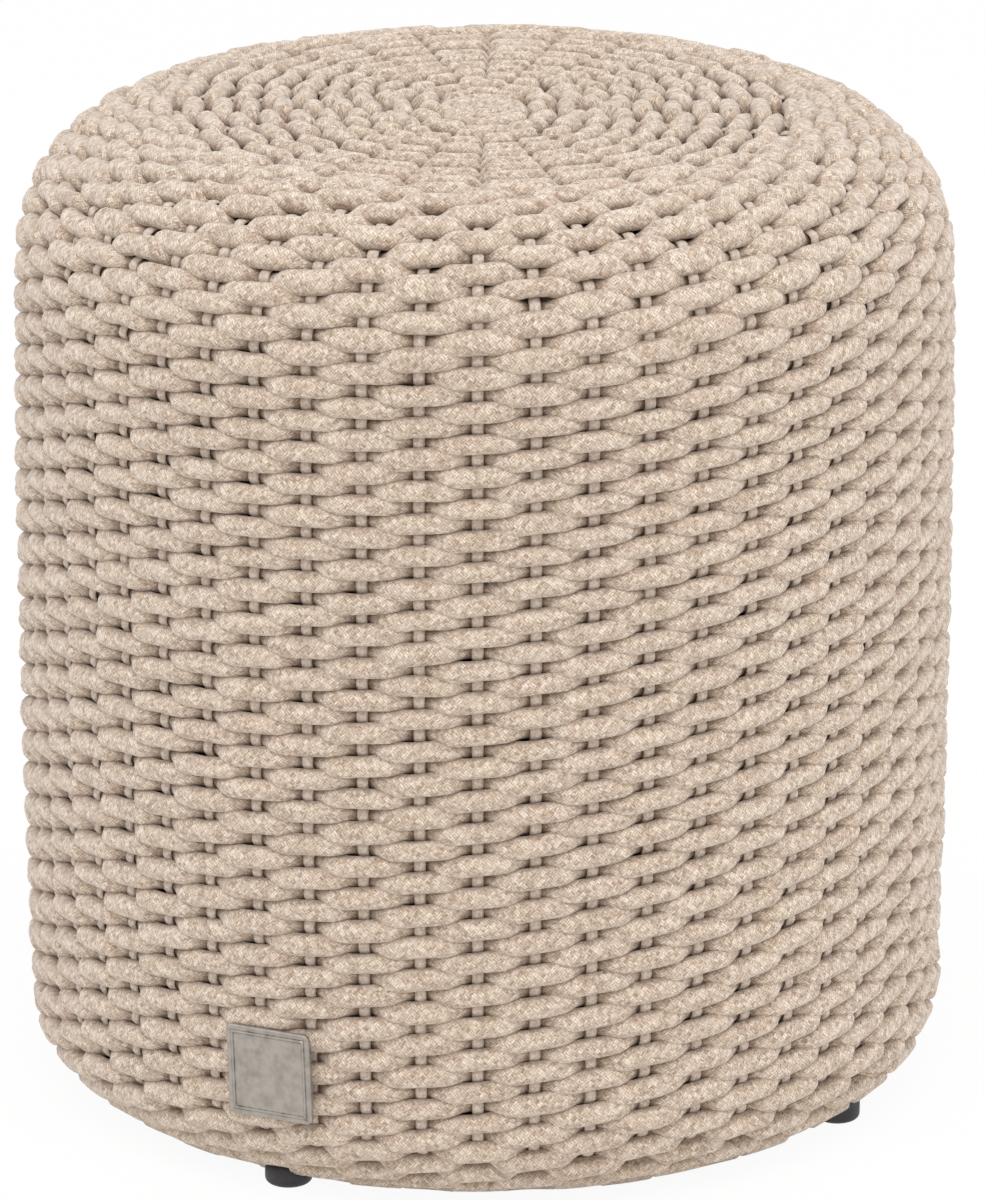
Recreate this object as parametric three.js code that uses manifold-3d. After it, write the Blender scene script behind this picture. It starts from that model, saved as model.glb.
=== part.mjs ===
// A round woven rope footstool for the garden: a drum-shaped cover of thick rope, woven over and
// under, on a welded frame of aluminium tube that stands on four plug-in glides.
// Millimetres, +Z up. The origin is on the floor, at the centre under the footstool.

import * as THREE from 'three';
import { mergeVertices } from 'three/addons/utils/BufferGeometryUtils.js';
import Module from 'manifold-3d';

const wasm = await Module();
wasm.setup();

// Woven cover, as seen from outside
const coverRadius = 215;
const coverHeight = 454;
const floorClearance = 3.4;
const barrelDepth = 3.7;
const topCornerRadius = 70.5;
const bottomCornerRadius = 44.7;
const cornerRoundness = 2.2;
const hemWidth = 57;

// Weave: warps run from the centre of the top down to the hem, and every course of the rope
// passes in front of one warp and behind the next
const sideWarpCount = 52;
const warpsPerTopWarp = 2;
const coursePitch = 7.4;
const topCoursePitch = 6.9;
const weaveThickness = 17;
const floatRelief = 5;

// Frame of round tube
const legTubeDiameter = 20;
const ringTubeDiameter = 16;
const tubeWall = 1.5;
const hoopBendRadius = 40;
const topRingRadius = 112;

// Glides plugged into the leg ends
const glideDiameter = 21.5;
const glideHeadHeight = 11;
const glideEdgeRound = 2.5;
const glidePlugLength = 20;
const glideFinDepth = 1.2;
const glideFinPitch = 7;
const glideFinCount = 2;

// Metal label plate on the front, held by two studs in rivet nuts on the front leg
const plateWidth = 42;
const plateHeight = 41;
const plateThickness = 2;
const plateCornerRadius = 3;
const plateCentreHeight = 64;
const plateSideways = 7;
const rimInset = 2.4;
const rimWidth = 1.2;
const rimRise = 0.5;
const studDiameter = 4;
const studSpacing = 22;
const nutBodyDiameter = 7;
const nutBodyLength = 9;
const nutFlangeDiameter = 10;
const nutFlangeThickness = 1;

// Shared clearance between touching pieces, and how far a cutter passes what it cuts
const fitGap = 0.3;
const cutOverrun = 6;

// Facet counts
const legSides = 12;
const ringSides = 8;
const bendSteps = 4;
const ringArcSteps = 5;
const glideSides = 12;
const holeSides = 12;
const smallSides = 8;
const cornerInnerSteps = 4;
const sideInnerSteps = 2;
const outlineSteps = 24;

const topOfCover = floorClearance + coverHeight;
const middleOfCover = floorClearance + coverHeight / 2;
const hemRadius = coverRadius - hemWidth;
const topWarpCount = sideWarpCount / warpsPerTopWarp;
const legRadius = legTubeDiameter / 2;
const ringTubeRadius = ringTubeDiameter / 2;
const legAxisRadius = coverRadius - barrelDepth - weaveThickness - fitGap - legRadius;
const legEndHeight = glideHeadHeight + fitGap;
const hoopTopHeight = topOfCover - weaveThickness - fitGap - legRadius;
const legDirections = [0, 1, 2, 3].map((quarter) => quarter * Math.PI / 2);

const materials = {
  rope: { color: 0xbdab9b, roughness: 0.95, metalness: 0 },
  frame: { color: 0x6f6a64, roughness: 0.55, metalness: 0.4 },
  glide: { color: 0x2b292b, roughness: 0.6, metalness: 0 },
  plate: { color: 0xb9b2a8, roughness: 0.45, metalness: 0.8 },
  steel: { color: 0xa9abad, roughness: 0.35, metalness: 0.9 },
};

// Closed bodies from rings of points, and cuts between bodies

function bodyFromTriangles(points, triangles) {
  const geometry = new THREE.BufferGeometry();
  geometry.setAttribute('position', new THREE.Float32BufferAttribute(points.flatMap((p) => p.toArray()), 3));
  geometry.setIndex(triangles.flat());
  return geometry;
}

// Triangles between two rings of points. Where points stand high and low by turns, the diagonal of
// each field joins its two low points, so that each high point is a peak.
function stripBetween(ringA, ringB, count, lowAt = () => true) {
  const triangles = [];
  for (let i = 0; i < count; i += 1) {
    const next = (i + 1) % count;
    if (lowAt(i)) {
      triangles.push([ringA + i, ringB + next, ringA + next], [ringA + i, ringB + i, ringB + next]);
    } else {
      triangles.push([ringA + i, ringB + i, ringA + next], [ringB + i, ringB + next, ringA + next]);
    }
  }
  return triangles;
}

// Rings joined one to the next and the last to the first, such as the skin of a hollow tube
function hollowBody(rings, lowAt = () => true) {
  const count = rings[0].length;
  const triangles = rings.flatMap((ring, i) => (
    stripBetween(i * count, ((i + 1) % rings.length) * count, count, (j) => lowAt(i, j))
  ));
  return bodyFromTriangles(rings.flat(), triangles);
}

// Rings joined one to the next, closed by a point at each end
function solidBody(firstPoint, rings, lastPoint, lowAt) {
  const count = rings[0].length;
  const points = [...rings.flat(), firstPoint, lastPoint];
  const triangles = rings.slice(1).flatMap((ring, i) => (
    stripBetween(i * count, (i + 1) * count, count, (j) => lowAt(i, j))
  ));
  const firstPole = rings.length * count;
  const lastRing = (rings.length - 1) * count;
  for (let i = 0; i < count; i += 1) {
    const next = (i + 1) % count;
    triangles.push([firstPole, i, next], [firstPole + 1, lastRing + next, lastRing + i]);
  }
  return bodyFromTriangles(points, triangles);
}

function toSolid(geometry) {
  const bare = geometry.clone();
  bare.deleteAttribute('normal');
  bare.deleteAttribute('uv');
  const merged = mergeVertices(bare);
  return new wasm.Manifold(new wasm.Mesh({
    numProp: 3,
    vertProperties: new Float32Array(merged.attributes.position.array),
    triVerts: new Uint32Array(merged.index.array),
  }));
}

function toGeometry(solid) {
  const mesh = solid.getMesh();
  const geometry = new THREE.BufferGeometry();
  geometry.setAttribute('position', new THREE.BufferAttribute(new Float32Array(mesh.vertProperties), 3));
  geometry.setIndex(new THREE.BufferAttribute(new Uint32Array(mesh.triVerts), 1));
  return geometry;
}

function cut(geometry, cutters) {
  return toGeometry(cutters.reduce((solid, cutter) => solid.subtract(toSolid(cutter)), toSolid(geometry)));
}

function join(geometries) {
  const [first, ...others] = geometries.map(toSolid);
  return toGeometry(others.reduce((solid, other) => solid.add(other), first));
}

// Radius of a faceted cutter whose flats clear a round piece by the fit gap
function clearing(radius, sides) {
  return (radius + fitGap) / Math.cos(Math.PI / sides);
}

// A round bar whose axis runs from one point to another
function bar(start, end, radius, sides) {
  const axis = new THREE.Vector3().subVectors(end, start);
  const geometry = new THREE.CylinderGeometry(radius, radius, axis.length(), sides);
  const upright = new THREE.Vector3(0, 1, 0);
  const turn = new THREE.Quaternion().setFromUnitVectors(upright, axis.clone().normalize());
  const middle = new THREE.Vector3().addVectors(start, end).multiplyScalar(1 / 2);
  return geometry.applyQuaternion(turn).translate(middle.x, middle.y, middle.z);
}

// Where the cover's outside lies. An outline point is (distance from the axis, height), and the
// outline runs from the seam on top, over the shoulder, down the side and under to the hem. Each
// stretch of it can be moved inwards by a depth.

function drawnIn(radius, height) {
  const share = (height - middleOfCover) / (coverHeight / 2);
  return radius - barrelDepth * (radius / coverRadius) * share * share;
}

function cornerPoints(radius, centreHeight, startAngle, endAngle, steps, depth) {
  return Array.from({ length: steps + 1 }, (_, i) => {
    const angle = startAngle + (endAngle - startAngle) * i / steps;
    const across = Math.cos(angle);
    const up = Math.sin(angle);
    const steepness = Math.abs(across) ** cornerRoundness + Math.abs(up) ** cornerRoundness;
    const reach = radius / steepness ** (1 / cornerRoundness);
    const normal = new THREE.Vector2(
      Math.sign(across) * Math.abs(across) ** (cornerRoundness - 1),
      Math.sign(up) * Math.abs(up) ** (cornerRoundness - 1),
    ).normalize();
    const distance = coverRadius - radius + across * reach;
    const height = centreHeight + up * reach;
    return new THREE.Vector2(drawnIn(distance, height), height).addScaledVector(normal, -depth);
  });
}

const shoulderHeight = topOfCover - topCornerRadius;
const footHeight = floorClearance + bottomCornerRadius;

function shoulderPoints(steps, depth) {
  return cornerPoints(topCornerRadius, shoulderHeight, Math.PI / 2, 0, steps, depth);
}

// The slightly bellied side between the two corners
function sidePoints(steps, depth) {
  return Array.from({ length: steps + 1 }, (_, i) => {
    const height = shoulderHeight + (footHeight - shoulderHeight) * i / steps;
    return new THREE.Vector2(drawnIn(coverRadius, height) - depth, height);
  });
}

function basePoints(steps, depth) {
  return [
    ...cornerPoints(bottomCornerRadius, footHeight, 0, -Math.PI / 2, steps, depth),
    new THREE.Vector2(hemRadius, floorClearance + depth),
  ];
}

function lineThrough(points) {
  return new THREE.Path().setFromPoints(points);
}

// A point at a share of a line's length, moved inwards from the line
function pointOn(line, share, depth) {
  const along = line.getTangentAt(share);
  return line.getPointAt(share).addScaledVector(new THREE.Vector2(-along.y, along.x), -depth);
}

// Woven cover

function warpPoint(radius, height, warp) {
  const angle = 2 * Math.PI * warp / sideWarpCount;
  return new THREE.Vector3(radius * Math.cos(angle), radius * Math.sin(angle), height);
}

// The top and the side meet on a line with one straight stretch between two top warps
function seamCorrection(warp) {
  return warp % warpsPerTopWarp === 0 ? 1 : Math.cos(Math.PI / topWarpCount);
}

// A course lies at full height where it passes in front of a warp, and sinks where it is behind
function isBehind(warp, course) {
  return (warp + course) % 2 === 1;
}

function floatDepth(warp, course) {
  return isBehind(warp, course) ? floatRelief : 0;
}

// The cover below the seam is three bands, split where the outline's two corners end. An edge that
// faces another band stands back from it by half the fit gap.
const seamEdge = new THREE.Vector2(fitGap / 2, 0);
const edgeFacingUp = new THREE.Vector2(0, -fitGap / 2);
const edgeFacingDown = new THREE.Vector2(0, fitGap / 2);
const hemEdge = new THREE.Vector2(0, 0);
const shoulderBand = {
  points: shoulderPoints, innerSteps: cornerInnerSteps, start: seamEdge, end: edgeFacingDown,
};
const sideBand = {
  points: sidePoints, innerSteps: sideInnerSteps, start: edgeFacingUp, end: edgeFacingDown,
};
const baseBand = {
  points: basePoints, innerSteps: cornerInnerSteps, start: edgeFacingUp, end: hemEdge,
};

function bandPoints(band, steps, depth) {
  const points = band.points(steps, depth);
  points[0].add(band.start);
  points.at(-1).add(band.end);
  return points;
}

function courseCount(band) {
  return Math.round(lineThrough(bandPoints(band, outlineSteps, 0)).getLength() / coursePitch);
}

// Courses lie in the middle of their own stretch of the line. So a band's edges are half a course
// away from the nearest course, where the relief is at half its depth.
function wovenBand(band, firstCourse, cutters = []) {
  const warps = Array.from({ length: sideWarpCount }, (_, warp) => warp);
  const ring = (pointOf) => warps.map((warp) => {
    const point = pointOf(warp);
    return warpPoint(point.x, point.y, warp);
  });
  const facetReach = 1 / Math.cos(Math.PI / sideWarpCount);
  const edgeReach = band === shoulderBand ? seamCorrection : () => 1;
  const line = lineThrough(bandPoints(band, outlineSteps, 0));
  const courses = courseCount(band);
  const start = pointOn(line, 0, floatRelief / 2);
  const rings = [ring((warp) => new THREE.Vector2(start.x * edgeReach(warp), start.y))];
  for (let course = 0; course < courses; course += 1) {
    const share = (course + 1 / 2) / courses;
    rings.push(ring((warp) => pointOn(line, share, floatDepth(warp, firstCourse + course))));
  }
  rings.push(ring(() => pointOn(line, 1, floatRelief / 2)));
  const [innerStart, ...inner] = bandPoints(band, band.innerSteps, weaveThickness);
  inner.reverse().forEach((point) => {
    rings.push(ring(() => new THREE.Vector2(point.x * facetReach, point.y)));
  });
  const innerReach = band === shoulderBand ? seamCorrection : () => facetReach;
  rings.push(ring((warp) => new THREE.Vector2(innerStart.x * innerReach(warp), innerStart.y)));
  return cut(hollowBody(rings, (ringIndex, warp) => isBehind(warp, firstCourse + ringIndex - 1)), cutters);
}

function glideHole(direction) {
  const across = new THREE.Vector3(Math.cos(direction), Math.sin(direction), 0).multiplyScalar(legAxisRadius);
  const low = across.clone().setZ(-cutOverrun);
  const high = across.clone().setZ(footHeight + cutOverrun);
  return bar(low, high, clearing(glideDiameter / 2, holeSides), holeSides);
}

function studHole(height) {
  const outside = new THREE.Vector3(0, plateBack - cutOverrun, height);
  const inside = new THREE.Vector3(0, -legAxisRadius, height);
  return bar(outside, inside, clearing(studDiameter / 2, smallSides), smallSides);
}

// Room for a rivet nut's flange on the leg, for where the weave comes that near
function flangePocket(height) {
  const outside = new THREE.Vector3(0, legFace - nutFlangeThickness - 2 * fitGap, height);
  const inside = new THREE.Vector3(0, -legAxisRadius, height);
  return bar(outside, inside, clearing(nutFlangeDiameter / 2, smallSides), smallSides);
}

function topWeave() {
  const warps = Array.from({ length: topWarpCount }, (_, warp) => warp);
  const edge = drawnIn(coverRadius - topCornerRadius, topOfCover) - fitGap / 2;
  const courses = Math.round(edge / topCoursePitch);
  const ring = (radius, heightOf) => warps.map((warp) => (
    warpPoint(radius, heightOf(warp), warp * warpsPerTopWarp)
  ));
  const rings = [];
  for (let course = 1; course < courses; course += 1) {
    rings.push(ring(edge * course / courses, (warp) => topOfCover - floatDepth(warp, course)));
  }
  rings.push(ring(edge, () => topOfCover - floatRelief / 2));
  rings.push(ring(edge, () => topOfCover - weaveThickness));
  const centre = (height) => new THREE.Vector3(0, 0, height);
  return solidBody(
    centre(topOfCover - floatRelief / 2),
    rings,
    centre(topOfCover - weaveThickness),
    (course, warp) => isBehind(warp, course + 1),
  );
}

// Frame of tube. Every centre line lies in one plane, and side is the unit vector across it.

function bentTube(stations, side, radius, sides) {
  const ringAt = (station, ringRadius) => Array.from({ length: sides }, (_, i) => {
    const angle = 2 * Math.PI * (i + 1 / 2) / sides;
    const across = new THREE.Vector3().crossVectors(station.along, side);
    return station.point.clone()
      .addScaledVector(across, ringRadius * Math.cos(angle))
      .addScaledVector(side, ringRadius * Math.sin(angle));
  });
  const outer = stations.map((station) => ringAt(station, radius));
  const inner = stations.map((station) => ringAt(station, radius - tubeWall));
  return hollowBody([...outer, ...inner.reverse()]);
}

// One leg of a hoop, from the floor end up, over the bend and along the top to a distance from the axis
function hoopLeg(direction, reach) {
  const out = new THREE.Vector3(Math.cos(direction), Math.sin(direction), 0);
  const up = new THREE.Vector3(0, 0, 1);
  const bendCentre = out.clone().multiplyScalar(legAxisRadius - hoopBendRadius)
    .addScaledVector(up, hoopTopHeight - hoopBendRadius);
  const stations = [{ point: out.clone().multiplyScalar(legAxisRadius).setZ(legEndHeight), along: up }];
  for (let step = 0; step <= bendSteps; step += 1) {
    const angle = Math.PI / 2 * step / bendSteps;
    stations.push({
      point: bendCentre.clone()
        .addScaledVector(out, hoopBendRadius * Math.cos(angle))
        .addScaledVector(up, hoopBendRadius * Math.sin(angle)),
      along: up.clone().multiplyScalar(Math.cos(angle)).addScaledVector(out, -Math.sin(angle)),
    });
  }
  stations.push({ point: out.clone().multiplyScalar(reach).setZ(hoopTopHeight), along: out.clone().negate() });
  return stations;
}

function longHoop() {
  const rising = hoopLeg(0, 0);
  const falling = hoopLeg(Math.PI, 0).slice(0, -1).reverse();
  const turned = falling.map((station) => ({ point: station.point, along: station.along.clone().negate() }));
  return bentTube([...rising, ...turned], new THREE.Vector3(0, -1, 0), legRadius, legSides);
}

// Half a hoop, its top end shaped to the long hoop that it is welded to
function halfHoop(direction) {
  const side = new THREE.Vector3(-Math.sin(direction), Math.cos(direction), 0).negate();
  const tube = bentTube(hoopLeg(direction, 0), side, legRadius, legSides);
  const longBar = bar(
    new THREE.Vector3(-topRingRadius, 0, hoopTopHeight),
    new THREE.Vector3(topRingRadius, 0, hoopTopHeight),
    clearing(legRadius, holeSides),
    holeSides,
  );
  return cut(tube, [longBar]);
}

// A quarter of a ring between two legs, its ends shaped to them
function ringArc(quarter, axisRadius, height, legCutters) {
  const endTrim = Math.asin(legRadius / 2 / axisRadius);
  const start = legDirections[quarter] + endTrim;
  const stations = Array.from({ length: ringArcSteps + 1 }, (_, step) => {
    const angle = start + (Math.PI / 2 - 2 * endTrim) * step / ringArcSteps;
    return {
      point: new THREE.Vector3(axisRadius * Math.cos(angle), axisRadius * Math.sin(angle), height),
      along: new THREE.Vector3(-Math.sin(angle), Math.cos(angle), 0),
    };
  });
  return cut(bentTube(stations, new THREE.Vector3(0, 0, 1), ringTubeRadius, ringSides), legCutters);
}

function standingCutter(direction) {
  const foot = new THREE.Vector3(Math.cos(direction), Math.sin(direction), 0).multiplyScalar(legAxisRadius);
  return bar(foot, foot.clone().setZ(hoopTopHeight), clearing(legRadius, holeSides), holeSides);
}

function lyingCutter(direction) {
  const end = new THREE.Vector3(Math.cos(direction), Math.sin(direction), 0).multiplyScalar(legAxisRadius);
  const middle = new THREE.Vector3(0, 0, hoopTopHeight);
  return bar(middle, end.setZ(hoopTopHeight), clearing(legRadius, holeSides), holeSides);
}

// Glides

function glide() {
  const headRadius = glideDiameter / 2;
  const plugRadius = (legRadius - tubeWall) * Math.cos(Math.PI / legSides) - fitGap;
  const coreRadius = plugRadius - glideFinDepth;
  const profile = [
    new THREE.Vector2(0, 0),
    new THREE.Vector2(headRadius - glideEdgeRound, 0),
    new THREE.Vector2(headRadius - glideEdgeRound * (1 - Math.SQRT1_2), glideEdgeRound * (1 - Math.SQRT1_2)),
    new THREE.Vector2(headRadius, glideEdgeRound),
    new THREE.Vector2(headRadius, glideHeadHeight),
    new THREE.Vector2(coreRadius, glideHeadHeight),
  ];
  for (let fin = 1; fin <= glideFinCount; fin += 1) {
    const height = glideHeadHeight + fin * glideFinPitch;
    profile.push(new THREE.Vector2(coreRadius, height - glideFinDepth));
    profile.push(new THREE.Vector2(plugRadius, height));
    profile.push(new THREE.Vector2(coreRadius, height));
  }
  profile.push(new THREE.Vector2(coreRadius, glideHeadHeight + glidePlugLength));
  profile.push(new THREE.Vector2(0, glideHeadHeight + glidePlugLength));
  const turned = new THREE.LatheGeometry(profile, glideSides).rotateX(Math.PI / 2);
  return toGeometry(toSolid(turned));
}

// Label plate and its rivet nuts

const studHeights = [-1, 1].map((end) => plateCentreHeight + end * studSpacing / 2);
const plateBack = -(drawnIn(coverRadius, plateCentreHeight) + fitGap);
const legFace = -(legAxisRadius + legRadius);

function roundedRectangle(width, height, radius) {
  const shape = new THREE.Shape();
  shape.absarc(width / 2 - radius, height / 2 - radius, radius, 0, Math.PI / 2);
  shape.absarc(radius - width / 2, height / 2 - radius, radius, Math.PI / 2, Math.PI);
  shape.absarc(radius - width / 2, radius - height / 2, radius, Math.PI, 3 * Math.PI / 2);
  shape.absarc(width / 2 - radius, radius - height / 2, radius, 3 * Math.PI / 2, 2 * Math.PI);
  return shape;
}

function plateLayer(inset, depth) {
  const cornerRadius = plateCornerRadius - inset / 2;
  const shape = roundedRectangle(plateWidth - 2 * inset, plateHeight - 2 * inset, cornerRadius);
  return new THREE.ExtrudeGeometry(shape, { depth, bevelEnabled: false, curveSegments: 4 });
}

function labelPlate() {
  const innerEdge = plateLayer(rimInset + rimWidth, plateThickness + 2 * rimRise);
  innerEdge.translate(0, 0, plateThickness);
  const rim = cut(plateLayer(rimInset, plateThickness + rimRise), [innerEdge]);
  const face = join([plateLayer(0, plateThickness), rim]);
  face.rotateX(Math.PI / 2).translate(plateSideways, plateBack, plateCentreHeight);
  const studs = studHeights.map((height) => bar(
    new THREE.Vector3(0, plateBack - plateThickness / 2, height),
    new THREE.Vector3(0, legFace + nutBodyLength / 2, height),
    studDiameter / 2,
    smallSides,
  ));
  return join([face, ...studs]);
}

// A rivet nut in the leg's wall: a flange outside, a body through the wall and a bore for the stud
function rivetNut(height) {
  const at = (depth) => new THREE.Vector3(0, legFace + depth, height);
  const flangeOut = -(nutFlangeThickness + fitGap);
  const body = bar(at(flangeOut), at(nutBodyLength), nutBodyDiameter / 2, smallSides);
  const flange = bar(at(flangeOut), at(-fitGap), nutFlangeDiameter / 2, smallSides);
  const boreRadius = clearing(studDiameter / 2, smallSides);
  const bore = bar(at(flangeOut - cutOverrun), at(nutBodyLength + cutOverrun), boreRadius, smallSides);
  return cut(join([body, flange]), [bore]);
}

function nutHole(height) {
  return bar(
    new THREE.Vector3(0, legFace - cutOverrun, height),
    new THREE.Vector3(0, -legAxisRadius, height),
    clearing(nutBodyDiameter / 2, smallSides),
    smallSides,
  );
}

// Assembly

const footstool = new THREE.Group();

function add(name, geometry, material) {
  const bare = geometry.index ? geometry : mergeVertices(geometry);
  const mesh = new THREE.Mesh(bare, new THREE.MeshStandardMaterial(materials[material]));
  mesh.name = name;
  footstool.add(mesh);
  return mesh;
}

const sideStart = courseCount(shoulderBand);
const baseStart = sideStart + courseCount(sideBand);
const studHoles = studHeights.flatMap((height) => [studHole(height), flangePocket(height)]);
add('top_weave', topWeave(), 'rope');
add('shoulder_weave', wovenBand(shoulderBand, 0), 'rope');
add('side_weave', wovenBand(sideBand, sideStart, studHoles), 'rope');
add('base_weave', wovenBand(baseBand, baseStart, [...legDirections.map(glideHole), ...studHoles]), 'rope');

add('frame_long_hoop', longHoop(), 'frame');
add('frame_half_hoop_front', cut(halfHoop(-Math.PI / 2), studHeights.map(nutHole)), 'frame');
add('frame_half_hoop_back', halfHoop(Math.PI / 2), 'frame');

const ringAxisRadius = legAxisRadius + legRadius - ringTubeRadius;
legDirections.forEach((direction, quarter) => {
  const next = legDirections[(quarter + 1) % legDirections.length];
  const legs = [standingCutter(direction), standingCutter(next)];
  const bars = [lyingCutter(direction), lyingCutter(next)];
  const topRingHeight = topOfCover - weaveThickness - fitGap - ringTubeRadius;
  add(`frame_bottom_ring_${quarter + 1}`, ringArc(quarter, ringAxisRadius, footHeight, legs), 'frame');
  add(`frame_upper_ring_${quarter + 1}`, ringArc(quarter, ringAxisRadius, shoulderHeight, legs), 'frame');
  add(`frame_top_ring_${quarter + 1}`, ringArc(quarter, topRingRadius, topRingHeight, bars), 'frame');
  const foot = add(`glide_${quarter + 1}`, glide(), 'glide');
  foot.position.set(legAxisRadius * Math.cos(direction), legAxisRadius * Math.sin(direction), 0);
});

add('label_plate', labelPlate(), 'plate');
studHeights.forEach((height, i) => add(`label_rivet_nut_${i + 1}`, rivetNut(height), 'steel'));

export default footstool;
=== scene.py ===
import math
import bmesh
import bpy
import numpy as np
from mathutils import Matrix, Vector


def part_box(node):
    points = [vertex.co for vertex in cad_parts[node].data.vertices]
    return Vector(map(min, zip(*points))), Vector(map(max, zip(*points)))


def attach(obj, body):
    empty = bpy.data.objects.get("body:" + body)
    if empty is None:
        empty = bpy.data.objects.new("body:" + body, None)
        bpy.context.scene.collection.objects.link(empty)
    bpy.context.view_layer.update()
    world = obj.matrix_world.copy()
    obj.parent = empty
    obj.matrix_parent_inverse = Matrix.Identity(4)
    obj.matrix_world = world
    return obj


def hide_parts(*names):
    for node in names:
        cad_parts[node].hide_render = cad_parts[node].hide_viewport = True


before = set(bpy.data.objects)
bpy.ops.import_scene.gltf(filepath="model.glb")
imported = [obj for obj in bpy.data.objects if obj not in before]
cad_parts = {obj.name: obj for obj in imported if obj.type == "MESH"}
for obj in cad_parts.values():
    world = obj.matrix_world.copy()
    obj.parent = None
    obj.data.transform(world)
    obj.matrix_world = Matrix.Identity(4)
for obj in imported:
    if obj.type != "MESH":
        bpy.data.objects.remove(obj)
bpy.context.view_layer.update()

# Camera
# The footstool is seen from its front right and a little above, from about three metres away,
# through a long lens, a touch left of the middle of the picture and a touch above it.
IMAGE_LONG_SIDE_PX = 1200
PICTURE_CENTRE_PX = (492.5, 600.0)
COVER_CENTRE_PX = (484.5, 580.7)
CAMERA_AZIMUTH = math.radians(28.5)
CAMERA_ELEVATION = math.radians(18.0)
CAMERA_DISTANCE = 3.01
LENS_MM = 195.6

cover_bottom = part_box("base_weave")[0].z
cover_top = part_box("top_weave")[1].z
cover_middle = Vector((0, 0, (cover_bottom + cover_top) / 2))
camera = bpy.data.objects.new("camera", bpy.data.cameras.new("camera"))
camera.data.lens = LENS_MM
camera.data.shift_x = (PICTURE_CENTRE_PX[0] - COVER_CENTRE_PX[0]) / IMAGE_LONG_SIDE_PX
camera.data.shift_y = (COVER_CENTRE_PX[1] - PICTURE_CENTRE_PX[1]) / IMAGE_LONG_SIDE_PX
to_camera = Vector((
    math.sin(CAMERA_AZIMUTH) * math.cos(CAMERA_ELEVATION),
    -math.cos(CAMERA_AZIMUTH) * math.cos(CAMERA_ELEVATION),
    math.sin(CAMERA_ELEVATION),
))
camera.location = cover_middle + to_camera * CAMERA_DISTANCE
camera.rotation_euler = to_camera.to_track_quat("Z", "Y").to_euler()
bpy.context.scene.collection.objects.link(camera)
bpy.context.scene.camera = camera
bpy.context.scene.view_settings.view_transform = "Standard"


# Floor and light
# A plain white studio: an even sky, a wide soft lamp above and in front, a weaker one on each side,
# and a white floor that runs out of the picture and keeps the footstool's soft shadow. The floor has
# no glow of its own under the open drum, and can be looked through from below.
def linear(hex_colour):
    """An sRGB colour as the linear values that Blender's sockets take."""
    channels = [int(hex_colour[i:i + 2], 16) / 255 for i in (1, 3, 5)]
    return tuple(c / 12.92 if c <= 0.04045 else ((c + 0.055) / 1.055) ** 2.4 for c in channels) + (1.0,)


def add_node(tree, kind, inputs=None, stops=(), **settings):
    """Adds a node with its inputs, which are values or the sockets that they are linked to, and for a
    colour ramp its stops, which are places and colours."""
    node = tree.nodes.new(kind)
    for name, value in settings.items():
        setattr(node, name, value)
    for name, value in (inputs or {}).items():
        if isinstance(value, bpy.types.NodeSocket):
            tree.links.new(value, node.inputs[name])
        else:
            node.inputs[name].default_value = value
    for _ in stops[2:]:
        node.color_ramp.elements.new(1.0)
    for index, (place, hex_colour) in enumerate(stops):
        node.color_ramp.elements[index].position = place
        node.color_ramp.elements[index].color = linear(hex_colour)
    return node


def new_material(name):
    material = bpy.data.materials.new(name)
    material.use_nodes = True
    material.node_tree.nodes.clear()
    return material, material.node_tree


def seen_directly(tree):
    """One for what the camera sees, also by reflection or through glass, and zero for light."""
    paths = add_node(tree, "ShaderNodeLightPath").outputs
    seen = paths["Is Camera Ray"]
    for also in ("Is Glossy Ray", "Is Transmission Ray"):
        seen = add_node(tree, "ShaderNodeMath", {0: seen, 1: paths[also]}, operation="MAXIMUM").outputs[0]
    return seen


FLOOR_HALF_WIDTH = 6.0
FLOOR_COLOUR = "#f6f5f3"
FLOOR_GLOW = 0.94
DARK_FLOOR_RADIUS = 0.150
OPEN_FLOOR_RADIUS = 0.168
SKY_STRENGTH = 0.76
LAMPS = {
    "key_lamp": {"place": (0.9, -1.6, 3.7), "size": 2.6, "power": 68},
    "left_lamp": {"place": (-2.8, -0.6, 1.8), "size": 2.2, "power": 16},
    "right_lamp": {"place": (2.8, 2.0, 1.8), "size": 2.2, "power": 24},
}

bm = bmesh.new()
bmesh.ops.create_grid(bm, x_segments=1, y_segments=1, size=FLOOR_HALF_WIDTH)
floor = bpy.data.objects.new("floor", bpy.data.meshes.new("floor"))
bm.to_mesh(floor.data)
bm.free()
bpy.context.scene.collection.objects.link(floor)

material, tree = new_material("studio_floor_paper")
paper = add_node(tree, "ShaderNodeBsdfDiffuse", {"Color": linear(FLOOR_COLOUR)})
glow = add_node(tree, "ShaderNodeEmission", {"Color": (1, 1, 1, 1), "Strength": 1.0})
where = add_node(tree, "ShaderNodeTexCoord").outputs["Object"]
from_middle = add_node(tree, "ShaderNodeVectorMath", {0: where}, operation="LENGTH").outputs["Value"]
white = add_node(tree, "ShaderNodeMapRange", {
    "Value": from_middle, "From Min": DARK_FLOOR_RADIUS, "From Max": OPEN_FLOOR_RADIUS,
    "To Max": FLOOR_GLOW}).outputs[0]
share = add_node(tree, "ShaderNodeMath", {0: seen_directly(tree), 1: white}, operation="MULTIPLY")
mix = add_node(tree, "ShaderNodeMixShader", {0: share.outputs[0], 1: paper.outputs[0], 2: glow.outputs[0]})
from_below = add_node(tree, "ShaderNodeNewGeometry").outputs["Backfacing"]
clear = add_node(tree, "ShaderNodeBsdfTransparent")
one_sided = add_node(tree, "ShaderNodeMixShader", {0: from_below, 1: mix.outputs[0], 2: clear.outputs[0]})
add_node(tree, "ShaderNodeOutputMaterial", {"Surface": one_sided.outputs[0]})
floor.data.materials.append(material)

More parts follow.
